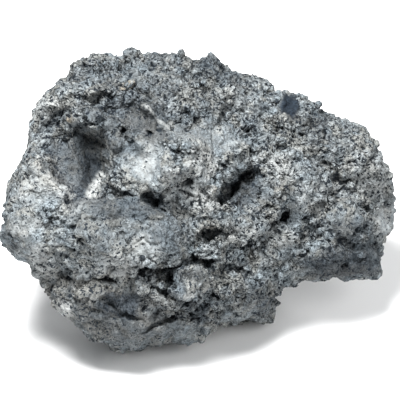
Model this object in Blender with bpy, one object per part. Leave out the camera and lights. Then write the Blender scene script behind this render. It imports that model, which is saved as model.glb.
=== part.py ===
"""A lava rock: one lump of rough, bubbly basalt, 24 cm long, that rests on small flats worn on its underside.

The stone is drawn about its middle. Its outline is given as seen from its best side, looking down at
SHOW_TILT, and a depth towards and away from that side rounds it out. Flat breaks then cut the round
form, the floor cuts its feet, and lumps, ledges, hollows and bubbles are raised and sunk on it.
Metres, +Z up, origin under the middle of the stone's box, on the surface it rests on.
"""

import itertools
from collections import namedtuple

import bmesh
import bpy
import numpy as np

# Driving dimensions
SHOW_TILT = np.radians(30)  # how far above level the best side is looked at from
FRONT_DEPTH = 0.066  # from the middle to the front, along the line of sight
BACK_DEPTH = 0.096
SKEW = 0.30  # the right end lies this much further back than the left, for each metre across
SQUARENESS = 2.4  # 2 is an ellipsoid, and more is boxier
FLOOR_DROP = 0.0765  # from the middle down to the surface the stone rests on
MIDDLE = (-0.0003, -0.0022)  # the middle of the stone's box, as (x, y) from the middle that it is drawn about
GRID = 48  # faces along each side of the cube that is blown up into the stone
TRIANGLES = 9700  # that the finished stone keeps, most of them where it bends most

# The outline, anticlockwise from the right end, as (across, up) from the middle
RIGHT_END = [(0.119, -0.003), (0.117, 0.014), (0.113, 0.028), (0.109, 0.037), (0.106, 0.043)]
RIGHT_SLOPE = [(0.092, 0.048), (0.082, 0.052), (0.076, 0.054), (0.070, 0.061), (0.059, 0.064), (0.045, 0.067)]
CREST = [(0.042, 0.073), (0.026, 0.078), (0.013, 0.083), (0.007, 0.092), (0.001, 0.087), (-0.014, 0.088)]
TOP_LEFT = [(-0.031, 0.089), (-0.047, 0.086), (-0.062, 0.090), (-0.070, 0.086), (-0.080, 0.078)]
LEFT_FLANK = [(-0.093, 0.063), (-0.100, 0.054), (-0.103, 0.038), (-0.108, 0.022), (-0.115, 0.012)]
LEFT_LOBE = [(-0.117, -0.003), (-0.115, -0.011), (-0.119, -0.021), (-0.116, -0.030), (-0.109, -0.034)]
UNDERCUT = [(-0.100, -0.035), (-0.097, -0.043), (-0.095, -0.050), (-0.084, -0.064), (-0.074, -0.076)]
BELLY = [(-0.060, -0.087), (-0.050, -0.091), (-0.038, -0.091), (-0.020, -0.086), (-0.006, -0.087)]
HEEL = [(0.006, -0.079), (0.012, -0.075), (0.020, -0.076), (0.028, -0.072), (0.043, -0.073), (0.0465, -0.068)]
RIGHT_FOOT = [(0.0455, -0.059), (0.056, -0.054), (0.065, -0.0485), (0.084, -0.048), (0.098, -0.050)]
RIGHT_TOE = [(0.109, -0.047), (0.111, -0.037), (0.112, -0.025), (0.118, -0.018)]
OUTLINE = (
    RIGHT_END + RIGHT_SLOPE + CREST + TOP_LEFT + LEFT_FLANK + LEFT_LOBE
    + UNDERCUT + BELLY + HEEL + RIGHT_FOOT + RIGHT_TOE
)
OUTLINE_REACH = 0.36  # how far round towards the front and back the outline's small bends last
OUTLINE_WAVES = 9  # waves round the stone that its outline keeps further in

# Flat breaks, as (across, back, up) that the plane faces, and its distance from the middle
Break = namedtuple("Break", "facing distance")
BREAKS = [
    Break((0.55, 0.60, 0.58), 0.084),
    Break((-0.62, 0.70, 0.35), 0.088),
    Break((0.15, 0.95, -0.25), 0.082),
    Break((0.80, 0.35, -0.48), 0.084),
    Break((-0.40, 0.62, 0.68), 0.086),
    Break((-0.70, 0.25, -0.66), 0.076),
]
BREAK_SOFTNESS = 16  # more is a sharper edge round each break

# Forms on the best side, as seen from it: each is an oval that stands out of the stone or sinks into it.
# edge is the share of the oval that its flank takes up: 1 is a dome, and less is a ledge with a flat top.
Form = namedtuple("Form", "across up half_width half_height turn rise edge")
FORMS = {
    "left_lobe": Form(-0.103, -0.019, 0.017, 0.017, 0, 0.013, 0.8),
    "left_shoulder": Form(-0.092, 0.010, 0.018, 0.020, 10, 0.007, 0.9),
    "white_lobe": Form(-0.030, 0.021, 0.021, 0.018, 8, 0.015, 0.8),
    "saddle": Form(-0.012, 0.027, 0.0140, 0.0140, 0, 0.010, 1.0),
    "lobe_side": Form(-0.011, 0.012, 0.0170, 0.0140, 10, 0.010, 1.0),
    "shelf": Form(0.008, 0.034, 0.027, 0.011, -4, 0.009, 0.8),
    "crest_line": Form(-0.0235, 0.047, 0.0155, 0.0035, -42, 0.003, 0.9),
    "slab": Form(-0.038, 0.047, 0.014, 0.010, -30, 0.003, 0.5),
    "brow": Form(-0.061, 0.067, 0.024, 0.007, 10, 0.007, 0.9),
    "brow_end": Form(-0.089, 0.056, 0.012, 0.008, 35, 0.005, 0.9),
    "crown": Form(-0.066, 0.083, 0.016, 0.008, 10, 0.006, 0.9),
    "roof_knobs": Form(-0.063, 0.047, 0.012, 0.0065, -8, 0.009, 0.7),
    "lower_lobe": Form(-0.044, -0.019, 0.036, 0.021, -10, 0.017, 0.6),
    "lobe_end": Form(-0.068, -0.032, 0.020, 0.015, -20, 0.007, 0.7),
    "boulder": Form(-0.004, -0.049, 0.012, 0.011, 0, 0.015, 0.5),
    "cheek": Form(-0.026, -0.056, 0.013, 0.012, 0, 0.009, 0.7),
    "small_block": Form(-0.060, -0.055, 0.009, 0.007, 0, 0.006, 0.7),
    "belly": Form(-0.057, -0.072, 0.032, 0.014, -22, 0.009, 0.8),
    "keel": Form(-0.010, -0.079, 0.017, 0.008, 5, 0.008, 0.5),
    "chunk": Form(0.008, 0.015, 0.014, 0.010, 20, 0.006, 0.8),
    "low_chunk": Form(0.003, -0.009, 0.015, 0.009, -15, 0.007, 0.7),
    "middle_ridge": Form(0.026, -0.017, 0.018, 0.009, 10, 0.006, 0.8),
    "low_mass": Form(0.014, -0.030, 0.016, 0.008, 0, 0.006, 0.8),
    "knuckle": Form(0.088, -0.014, 0.014, 0.014, 0, 0.010, 0.7),
    "right_knob": Form(0.111, -0.014, 0.010, 0.010, 0, 0.008, 0.7),
    "toe_block": Form(0.098, -0.037, 0.013, 0.010, 0, 0.009, 0.6),
    "toe_ridge": Form(0.074, -0.031, 0.017, 0.006, 10, 0.007, 0.6),
    "right_cheek": Form(0.056, 0.010, 0.019, 0.016, 0, 0.008, 0.9),
    "right_brow": Form(0.088, 0.028, 0.020, 0.012, -18, 0.006, 0.9),
    "low_ridge": Form(0.036, -0.046, 0.018, 0.009, 16, 0.006, 0.8),
    "heel_block": Form(0.026, -0.061, 0.019, 0.010, 6, 0.010, 0.5),
    "top_knob": Form(0.004, 0.082, 0.006, 0.008, 0, 0.005, 0.8),
    "high_knob": Form(0.049, 0.0475, 0.005, 0.004, 0, 0.005, 0.8),
    "dark_lump": Form(0.068, 0.047, 0.008, 0.006, -10, 0.004, 0.7),
    "cave": Form(-0.070, 0.023, 0.0160, 0.0165, -8, -0.010, 0.9),
    "cave_deep": Form(-0.062, 0.0225, 0.0085, 0.0155, -4, -0.011, 0.8),
    "cave_left": Form(-0.080, 0.036, 0.010, 0.012, 0, -0.005, 1.0),
    "cave_roof": Form(-0.048, 0.0505, 0.0105, 0.0060, 22, -0.005, 1.0),
    "roof_left": Form(-0.080, 0.0455, 0.012, 0.0050, 22, -0.003, 1.0),
    "mouth": Form(-0.030, 0.0005, 0.0065, 0.0042, -25, -0.013, 0.7),
    "gash": Form(0.0190, 0.0045, 0.0135, 0.0030, 42, -0.010, 0.7),
    "hole": Form(0.0490, -0.0120, 0.0072, 0.0030, 38, -0.011, 0.7),
    "under_lobe": Form(-0.027, -0.041, 0.0125, 0.002, 8, -0.009, 0.7),
    "boulder_top": Form(-0.003, -0.037, 0.011, 0.002, 4, -0.008, 0.8),
    "lobe_crack": Form(-0.0564, -0.048, 0.006, 0.002, 0, -0.009, 0.8),
    "toe_shade": Form(0.075, -0.0410, 0.016, 0.004, 8, -0.003, 1.0),
}
FORM_WANDER = 0.0022  # how far a form's edge strays from its oval
FORM_WANDER_SIZE = 0.010

# Blocks: lava broken into pieces that stand higher and lower than each other, with gaps between them.
# size is of one piece, step how far one stands up or down, dome how far it bulges, and gap how deep the
# gaps are.
Blocks = namedtuple("Blocks", "size step dome gap seed")
BLOCKS = [
    Blocks(0.048, 0.0030, 0.0060, 0.0015, 10),
    Blocks(0.026, 0.0026, 0.0036, 0.0018, 11),
    Blocks(0.0115, 0.0015, 0.0020, 0.0012, 12),
]
GAP_SHARE = 0.25  # how wide a gap is, as a share of its blocks
BLOCK_WANDER = 0.35  # how far a block's edge strays, as a share of the block

RIM_REACH = 0.15  # how far round from the outline the blocks are lower, to keep to the outline
RIM_SHARE = 0.5  # how much lower

# Bubbles that the surface cuts open: one may lie in each cell of a lattice
BUBBLE_CELL = 0.018
BUBBLE_RADIUS = (0.0026, 0.0042)
BUBBLE_SHARE = 0.35  # of the cells that hold one
BUBBLE_SEED = 21

# The underside: worn feet, and shallow arches between them
FOOT_SNAP = 0.0003  # what ends this near the floor is laid on it
ARCH_RISE = 0.004
ARCH_SIZE = 0.060
ARCH_SEED = 31

ROCK_COLOUR = (0.13, 0.14, 0.145, 1)
ROCK_ROUGHNESS = 0.92

MIX_FACTORS = (73856093, 19349663, 83492791)  # odd numbers that spread a lattice point over 32 bits


def lattice_random(cells, seed):
    """Three numbers from 0 to 1 for each lattice point, the same on every run: its coordinates are
    multiplied, mixed with the seed, and scrambled by shifts and products."""
    mixed = np.full(cells.shape[:-1], seed * 40503 + 977, np.uint32)
    for axis, factor in enumerate(MIX_FACTORS):
        mixed ^= cells[..., axis].astype(np.uint32) * np.uint32(factor)
    numbers = []
    for _ in range(3):
        mixed = (mixed ^ (mixed >> 15)) * np.uint32(2246822519)
        mixed = (mixed ^ (mixed >> 13)) * np.uint32(3266489917)
        mixed = mixed ^ (mixed >> 16)
        numbers.append(mixed / 2.0**32)
    return np.stack(numbers, axis=-1)


def soft_noise(points, size, seed):
    """Smooth noise, about -1 to 1: random slopes at the corners of a lattice of that size, faded together."""
    scaled = points / size
    cells = np.floor(scaled).astype(np.int64)
    inside = scaled - cells
    fade = inside**3 * (inside * (inside * 6 - 15) + 10)
    total = np.zeros(len(points))
    for corner in itertools.product((0, 1), repeat=3):
        slopes = 2 * lattice_random(cells + corner, seed) - 1
        share = np.prod(np.where(corner, fade, 1 - fade), axis=1)
        total += share * np.sum(slopes * (inside - corner), axis=1)
    return total * 1.3


def unit(vectors):
    return vectors / np.linalg.norm(vectors, axis=-1, keepdims=True)


def smooth_step(low, high, values):
    """0 below low, 1 above high, and an S-curve between."""
    share = np.clip((values - low) / (high - low), 0, 1)
    return share * share * (3 - 2 * share)


def outline_radius(angles, waves=None):
    """Distance from the middle to the outline at each angle. With waves, only its slowest waves are kept."""
    corners = np.array(OUTLINE)
    turns = np.arctan2(corners[:, 1], corners[:, 0])
    reach = np.hypot(corners[:, 0], corners[:, 1])
    if waves is None:
        return np.interp(angles, turns, reach, period=2 * np.pi)
    even = np.linspace(-np.pi, np.pi, 360, endpoint=False)
    spectrum = np.fft.rfft(np.interp(even, turns, reach, period=2 * np.pi))
    spectrum[waves + 1 :] = 0
    return np.interp(angles, even, np.fft.irfft(spectrum, len(even)), period=2 * np.pi)


def round_form(directions):
    """The stone before anything is broken off or raised. In the slice through the line of sight at each
    angle it is a squared ellipse, as wide as the outline there and as deep as the front or the back."""
    angles = np.arctan2(directions[:, 1], directions[:, 0])
    sideways = np.hypot(directions[:, 0], directions[:, 1])
    ahead = directions[:, 2]
    rim = np.exp(-((ahead / OUTLINE_REACH) ** 2))
    smooth = outline_radius(angles, OUTLINE_WAVES)
    width = smooth + (outline_radius(angles) - smooth) * rim
    depth = np.where(ahead > 0, FRONT_DEPTH, BACK_DEPTH)
    radius = ((sideways / width) ** SQUARENESS + (np.abs(ahead) / depth) ** SQUARENESS) ** (-1 / SQUARENESS)
    seen = directions * radius[:, None]
    seen[:, 2] -= SKEW * seen[:, 0]
    return seen


def stray(points, size, seed):
    """Three smooth noises side by side, as a shift of about one unit in any direction."""
    return np.stack([soft_noise(points, size, seed + axis) for axis in range(3)], axis=-1)


def oval_reach(seen, oval, wander):
    """How far each point lies from an oval's middle, as a share of the way to its rim, on a plane that
    faces the viewer. wander shifts the points first, so that the rim isn't a plain oval."""
    across = seen[:, 0] + wander[:, 0] - oval.across
    up = seen[:, 1] + wander[:, 1] - oval.up
    turn = np.radians(oval.turn)
    along = (across * np.cos(turn) + up * np.sin(turn)) / oval.half_width
    aside = (up * np.cos(turn) - across * np.sin(turn)) / oval.half_height
    return np.hypot(along, aside)


def form_relief(seen):
    """How far the named forms stand out towards the viewer: for each, full height inside its oval and an
    S-curve down to nothing at its rim."""
    wander = stray(seen, FORM_WANDER_SIZE, 1) * FORM_WANDER
    relief = np.zeros(len(seen))
    for form in FORMS.values():
        reach = oval_reach(seen, form, wander)
        relief += form.rise * smooth_step(1 + form.edge / 2, 1 - form.edge / 2, reach)
    return relief


def stand_up(seen):
    """Turns (across, up, towards the viewer) into the stone's own x, y and z, with z from the floor."""
    across, up, near = seen.T
    back = up * np.sin(SHOW_TILT) - near * np.cos(SHOW_TILT)
    height = up * np.cos(SHOW_TILT) + near * np.sin(SHOW_TILT)
    return np.stack([across, back, height], axis=-1)


def break_off(points, share):
    """Draws what lies beyond each break in towards the middle, as far as the break, with a soft edge."""
    for plane in BREAKS:
        beyond = points @ unit(np.array(plane.facing)) / plane.distance
        drawn_in = (1 + np.maximum(beyond, 0) ** BREAK_SOFTNESS) ** (-1 / BREAK_SOFTNESS)
        points = points * (1 + (drawn_in - 1) * share)[:, None]
    return points


def neighbours(points, size, seed):
    """For each of the 27 lattice cells round every point: the way from the point to the cell's own random
    spot, in metres, and three random numbers of that cell."""
    cells = np.floor(points / size).astype(np.int64)
    for step in itertools.product((-1, 0, 1), repeat=3):
        spot = lattice_random(cells + step, seed)
        yield (cells + step + spot) * size - points, lattice_random(cells + step, seed + 100)


def block_relief(points, blocks):
    """Height over the surface. A block is the space nearest to one random spot. It has a dome over the
    spot, and a step up or down and a slope of its own, and it drops away in a gap where the next block
    is almost as near."""
    points = points + stray(points, blocks.size * 1.2, blocks.seed + 50) * blocks.size * BLOCK_WANDER
    nearest = np.full(len(points), np.inf)
    second = np.full(len(points), np.inf)
    way_to = np.zeros_like(points)
    own = np.zeros_like(points)
    for way, numbers in neighbours(points, blocks.size, blocks.seed):
        far = np.linalg.norm(way, axis=1) / blocks.size
        closer = far < nearest
        second = np.where(closer, nearest, np.minimum(second, far))
        nearest = np.where(closer, far, nearest)
        way_to = np.where(closer[:, None], way, way_to)
        own = np.where(closer[:, None], numbers, own)
    slope = np.sum(way_to * (2 * own[:, [1, 2, 0]] - 1), axis=1) / blocks.size
    height = blocks.step * (2 * own[:, 0] - 1 + 1.2 * slope) + blocks.dome * (0.3 - nearest**2)
    return (height + blocks.gap) * smooth_step(0, GAP_SHARE, second - nearest) - blocks.gap


def bubble_depth(points, outwards):
    """How far each point goes in to reach the far wall of the bubble that it lies in, or 0 outside them."""
    deepest = np.zeros(len(points))
    for way, numbers in neighbours(points, BUBBLE_CELL, BUBBLE_SEED):
        radius = BUBBLE_RADIUS[0] + (BUBBLE_RADIUS[1] - BUBBLE_RADIUS[0]) * numbers[:, 0]
        radius = np.where(numbers[:, 1] < BUBBLE_SHARE, radius, 0)
        inwards = -np.sum(way * outwards, axis=1)
        left = radius**2 - np.sum(way * way, axis=1)
        deepest = np.maximum(deepest, np.where(left > 0, inwards + np.sqrt(inwards**2 + np.maximum(left, 0)), 0))
    return deepest


def rest_on_floor(points):
    """Arches the underside a little, then cuts the feet flat where they would go through the floor."""
    arch = ARCH_RISE * smooth_step(-0.2, 0.5, soft_noise(points, ARCH_SIZE, ARCH_SEED))
    drop = FLOOR_DROP - arch
    beyond = np.maximum(-points[:, 2] / drop, 0)
    return points / np.maximum(beyond, 1)[:, None]


def stone_surface(directions):
    """Where the stone's surface lies in each direction from its middle."""
    seen = round_form(directions)
    relief = form_relief(seen) * smooth_step(-0.05, 0.30, directions[:, 2])
    seen[:, 2] += relief
    points = break_off(stand_up(seen), smooth_step(0.0, -0.35, directions[:, 2]))
    outwards = unit(points)
    quiet = 1 - RIM_SHARE * np.exp(-((directions[:, 2] / RIM_REACH) ** 2))
    height = sum(block_relief(points, blocks) for blocks in BLOCKS) * quiet
    points = points + outwards * (height - bubble_depth(points, outwards))[:, None]
    points = rest_on_floor(points)
    points[:, 2] = np.maximum(points[:, 2] + FLOOR_DROP, 0)
    points[:, :2] -= MIDDLE
    return points


def basalt():
    material = bpy.data.materials.new("basalt")
    material.use_nodes = True
    shader = material.node_tree.nodes["Principled BSDF"]
    shader.inputs["Base Color"].default_value = ROCK_COLOUR
    shader.inputs["Roughness"].default_value = ROCK_ROUGHNESS
    shader.inputs["Metallic"].default_value = 0
    return material


def blown_cube():
    """A cube of GRID x GRID faces a side, with its points drawn out so that they turn by even angles."""
    cube = bmesh.new()
    bmesh.ops.create_cube(cube, size=2)
    bmesh.ops.subdivide_edges(cube, edges=cube.edges, cuts=GRID - 1, use_grid_fill=True)
    mesh = bpy.data.meshes.new("lava_rock")
    cube.to_mesh(mesh)
    cube.free()
    flat = np.empty(len(mesh.vertices) * 3)
    mesh.vertices.foreach_get("co", flat)
    return mesh, unit(np.tan(flat.reshape(-1, 3) * np.pi / 4))


def thin_out(rock):
    """Keeps TRIANGLES of the stone's triangles, most of them where it bends most, and flattens its feet."""
    triangles = rock.modifiers.new("triangles", "TRIANGULATE")
    triangles.quad_method = "SHORTEST_DIAGONAL"
    fewer = rock.modifiers.new("fewer", "DECIMATE")
    fewer.ratio = TRIANGLES / (2 * len(rock.data.polygons))
    graph = bpy.context.evaluated_depsgraph_get()
    mesh = bpy.data.meshes.new_from_object(rock.evaluated_get(graph))
    rock.modifiers.clear()
    full = rock.data
    rock.data = mesh
    bpy.data.meshes.remove(full)
    mesh.name = "lava_rock"
    points = np.empty(len(mesh.vertices) * 3)
    mesh.vertices.foreach_get("co", points)
    points = points.reshape(-1, 3)
    points[:, 2] = np.where(points[:, 2] < FOOT_SNAP, 0, points[:, 2])
    mesh.vertices.foreach_set("co", points.ravel())
    mesh.update()


def lava_rock():
    mesh, directions = blown_cube()
    mesh.vertices.foreach_set("co", stone_surface(directions).ravel())
    mesh.update()
    rock = bpy.data.objects.new("lava_rock", mesh)
    bpy.context.scene.collection.objects.link(rock)
    rock.data.materials.append(basalt())
    thin_out(rock)
    return rock


def main():
    for old in list(bpy.data.objects):
        bpy.data.objects.remove(old)
    lava_rock()


if __name__ == "__main__":
    main()
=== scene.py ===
"""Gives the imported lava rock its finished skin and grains, and sets it on a plain pale stage.

The skin is the solid's own form drawn again on a much finer grid, with the blocks, knobs and small
bubbles that the solid is too coarse for. It takes the place of the solid's node. Lumps and grains of
lava are then half sunk into the skin, as pieces of their own.
"""

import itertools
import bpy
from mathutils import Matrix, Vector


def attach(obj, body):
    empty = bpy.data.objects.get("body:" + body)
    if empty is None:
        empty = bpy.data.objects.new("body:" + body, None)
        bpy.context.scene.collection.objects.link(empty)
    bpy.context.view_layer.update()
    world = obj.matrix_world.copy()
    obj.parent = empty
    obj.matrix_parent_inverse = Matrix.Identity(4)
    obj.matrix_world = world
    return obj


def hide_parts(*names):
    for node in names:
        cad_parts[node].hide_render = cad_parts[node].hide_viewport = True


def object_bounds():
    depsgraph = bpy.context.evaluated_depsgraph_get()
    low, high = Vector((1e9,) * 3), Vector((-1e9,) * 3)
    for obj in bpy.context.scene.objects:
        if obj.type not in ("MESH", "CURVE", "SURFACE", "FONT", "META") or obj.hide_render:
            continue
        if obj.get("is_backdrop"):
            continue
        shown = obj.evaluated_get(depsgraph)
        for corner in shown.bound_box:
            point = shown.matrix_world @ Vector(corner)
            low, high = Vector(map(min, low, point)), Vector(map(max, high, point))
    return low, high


bl_info = {
    "name": "Lava Rock",
    "version": (1, 0, 0),
    "blender": (4, 5, 0),
    "location": "3D View > Sidebar > Lava Rock",
    "description": "Draws the rough, bubbly skin of a lava rock, its grains, and a plain stage for it",
    "category": "Object",
}

from collections import namedtuple

import bpy
import numpy as np
from bpy.props import FloatProperty, FloatVectorProperty, IntProperty, PointerProperty
from mathutils import Vector

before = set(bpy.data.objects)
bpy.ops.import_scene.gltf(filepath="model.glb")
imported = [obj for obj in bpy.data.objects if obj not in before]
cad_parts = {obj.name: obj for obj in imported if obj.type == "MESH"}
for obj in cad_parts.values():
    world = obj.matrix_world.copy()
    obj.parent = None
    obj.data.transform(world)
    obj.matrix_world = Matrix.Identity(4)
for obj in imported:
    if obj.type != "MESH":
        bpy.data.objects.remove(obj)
SOLID_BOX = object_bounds()
SOLID_NODE = "lava_rock"
BODY = "root"

# The form of the solid: the same values as its source, but for the gash, which is wider and shallower
SHOW_TILT = np.radians(30)  # how far above level the best side is looked at from
FRONT_DEPTH = 0.066  # from the middle to the front, along the line of sight
BACK_DEPTH = 0.096
SKEW = 0.30  # the right end lies this much further back than the left, for each metre across
SQUARENESS = 2.4  # 2 is an ellipsoid, and more is boxier
FLOOR_DROP = 0.0765  # from the middle down to the surface the stone rests on
MIDDLE = (-0.0003, -0.0022)  # the middle of the stone's box, as (x, y) from the middle that it is drawn about

# The outline, anticlockwise from the right end, as (across, up) from the middle
RIGHT_END = [(0.119, -0.003), (0.117, 0.014), (0.113, 0.028), (0.109, 0.037), (0.106, 0.043)]
RIGHT_SLOPE = [(0.092, 0.048), (0.082, 0.052), (0.076, 0.054), (0.070, 0.061), (0.059, 0.064), (0.045, 0.067)]
CREST = [(0.042, 0.073), (0.026, 0.078), (0.013, 0.083), (0.007, 0.092), (0.001, 0.087), (-0.014, 0.088)]
TOP_LEFT = [(-0.031, 0.089), (-0.047, 0.086), (-0.062, 0.090), (-0.070, 0.086), (-0.080, 0.078)]
LEFT_FLANK = [(-0.093, 0.063), (-0.100, 0.054), (-0.103, 0.038), (-0.108, 0.022), (-0.115, 0.012)]
LEFT_LOBE = [(-0.117, -0.003), (-0.115, -0.011), (-0.119, -0.021), (-0.116, -0.030), (-0.109, -0.034)]
UNDERCUT = [(-0.100, -0.035), (-0.097, -0.043), (-0.095, -0.050), (-0.084, -0.064), (-0.074, -0.076)]
BELLY = [(-0.060, -0.087), (-0.050, -0.091), (-0.038, -0.091), (-0.020, -0.086), (-0.006, -0.087)]
HEEL = [(0.006, -0.079), (0.012, -0.075), (0.020, -0.076), (0.028, -0.072), (0.043, -0.073), (0.0465, -0.068)]
RIGHT_FOOT = [(0.0455, -0.059), (0.056, -0.054), (0.065, -0.0485), (0.084, -0.048), (0.098, -0.050)]
RIGHT_TOE = [(0.109, -0.047), (0.111, -0.037), (0.112, -0.025), (0.118, -0.018)]
OUTLINE = (
    RIGHT_END + RIGHT_SLOPE + CREST + TOP_LEFT + LEFT_FLANK + LEFT_LOBE
    + UNDERCUT + BELLY + HEEL + RIGHT_FOOT + RIGHT_TOE
)
OUTLINE_REACH = 0.36  # how far round towards the front and back the outline's small bends last
OUTLINE_WAVES = 9  # waves round the stone that its outline keeps further in
OUTLINE_STEPS = 360  # even steps round the stone, in which those waves are found

# Flat breaks, as (across, back, up) that the plane faces, and its distance from the middle
Break = namedtuple("Break", "facing distance")
BREAKS = [
    Break((0.55, 0.60, 0.58), 0.084),
    Break((-0.62, 0.70, 0.35), 0.088),
    Break((0.15, 0.95, -0.25), 0.082),
    Break((0.80, 0.35, -0.48), 0.084),
    Break((-0.40, 0.62, 0.68), 0.086),
    Break((-0.70, 0.25, -0.66), 0.076),
]
BREAK_SOFTNESS = 16  # more is a sharper edge round each break

# How far a direction points towards the viewer, from -1 to 1, where the forms and marks begin and where
# they are whole, and the same for the breaks
FORMS_BEGIN = (-0.05, 0.30)
BREAKS_BEGIN = (0.0, -0.35)

# Forms on the best side, as seen from it: each is an oval that stands out of the stone or sinks into it.
# edge is the share of the oval that its flank takes up: 1 is a dome, and less is a ledge with a flat top.
Form = namedtuple("Form", "across up half_width half_height turn rise edge")
FORMS = {
    "left_lobe": Form(-0.103, -0.019, 0.017, 0.017, 0, 0.013, 0.8),
    "left_shoulder": Form(-0.092, 0.01, 0.018, 0.02, 10, 0.007, 0.9),
    "white_lobe": Form(-0.03, 0.021, 0.021, 0.018, 8, 0.015, 0.8),
    "saddle": Form(-0.012, 0.027, 0.014, 0.014, 0, 0.01, 1.0),
    "lobe_side": Form(-0.011, 0.012, 0.017, 0.014, 10, 0.01, 1.0),
    "shelf": Form(0.008, 0.034, 0.027, 0.011, -4, 0.009, 0.8),
    "crest_line": Form(-0.0235, 0.047, 0.0155, 0.0035, -42, 0.003, 0.9),
    "slab": Form(-0.038, 0.047, 0.014, 0.01, -30, 0.003, 0.5),
    "brow": Form(-0.061, 0.067, 0.024, 0.007, 10, 0.007, 0.9),
    "brow_end": Form(-0.089, 0.056, 0.012, 0.008, 35, 0.005, 0.9),
    "crown": Form(-0.066, 0.083, 0.016, 0.008, 10, 0.006, 0.9),
    "roof_knobs": Form(-0.063, 0.047, 0.012, 0.0065, -8, 0.009, 0.7),
    "lower_lobe": Form(-0.044, -0.019, 0.036, 0.021, -10, 0.017, 0.6),
    "lobe_end": Form(-0.068, -0.032, 0.02, 0.015, -20, 0.007, 0.7),
    "boulder": Form(-0.004, -0.049, 0.012, 0.011, 0, 0.015, 0.5),
    "cheek": Form(-0.026, -0.056, 0.013, 0.012, 0, 0.009, 0.7),
    "small_block": Form(-0.06, -0.055, 0.009, 0.007, 0, 0.006, 0.7),
    "belly": Form(-0.057, -0.072, 0.032, 0.014, -22, 0.009, 0.8),
    "keel": Form(-0.01, -0.079, 0.017, 0.008, 5, 0.008, 0.5),
    "chunk": Form(0.008, 0.015, 0.014, 0.01, 20, 0.006, 0.8),
    "low_chunk": Form(0.003, -0.009, 0.015, 0.009, -15, 0.007, 0.7),
    "middle_ridge": Form(0.026, -0.017, 0.018, 0.009, 10, 0.006, 0.8),
    "low_mass": Form(0.014, -0.03, 0.016, 0.008, 0, 0.006, 0.8),
    "knuckle": Form(0.088, -0.014, 0.014, 0.014, 0, 0.01, 0.7),
    "right_knob": Form(0.111, -0.014, 0.01, 0.01, 0, 0.008, 0.7),
    "toe_block": Form(0.098, -0.037, 0.013, 0.01, 0, 0.009, 0.6),
    "toe_ridge": Form(0.074, -0.031, 0.017, 0.006, 10, 0.007, 0.6),
    "right_cheek": Form(0.056, 0.01, 0.019, 0.016, 0, 0.008, 0.9),
    "right_brow": Form(0.088, 0.028, 0.02, 0.012, -18, 0.006, 0.9),
    "low_ridge": Form(0.036, -0.046, 0.018, 0.009, 16, 0.006, 0.8),
    "heel_block": Form(0.026, -0.061, 0.019, 0.01, 6, 0.01, 0.5),
    "top_knob": Form(0.004, 0.082, 0.006, 0.008, 0, 0.005, 0.8),
    "high_knob": Form(0.049, 0.0475, 0.005, 0.004, 0, 0.005, 0.8),
    "dark_lump": Form(0.068, 0.047, 0.008, 0.006, -10, 0.004, 0.7),
    "cave": Form(-0.07, 0.023, 0.016, 0.0165, -8, -0.01, 0.9),
    "cave_deep": Form(-0.062, 0.0225, 0.0085, 0.0155, -4, -0.011, 0.8),
    "cave_left": Form(-0.08, 0.036, 0.01, 0.012, 0, -0.005, 1.0),
    "cave_roof": Form(-0.048, 0.0505, 0.0105, 0.006, 22, -0.005, 1.0),
    "roof_left": Form(-0.08, 0.0455, 0.012, 0.005, 22, -0.003, 1.0),
    "mouth": Form(-0.03, 0.0005, 0.0065, 0.0042, -25, -0.013, 0.7),
    "gash": Form(0.018, 0.0068, 0.0125, 0.0036, 50, -0.008, 0.8),
    "hole": Form(0.049, -0.012, 0.0072, 0.003, 38, -0.011, 0.7),
    "under_lobe": Form(-0.027, -0.041, 0.0125, 0.002, 8, -0.009, 0.7),
    "boulder_top": Form(-0.003, -0.037, 0.011, 0.002, 4, -0.008, 0.8),
    "lobe_crack": Form(-0.0564, -0.048, 0.006, 0.002, 0, -0.009, 0.8),
    "toe_shade": Form(0.075, -0.041, 0.016, 0.004, 8, -0.003, 1.0),
}
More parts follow.
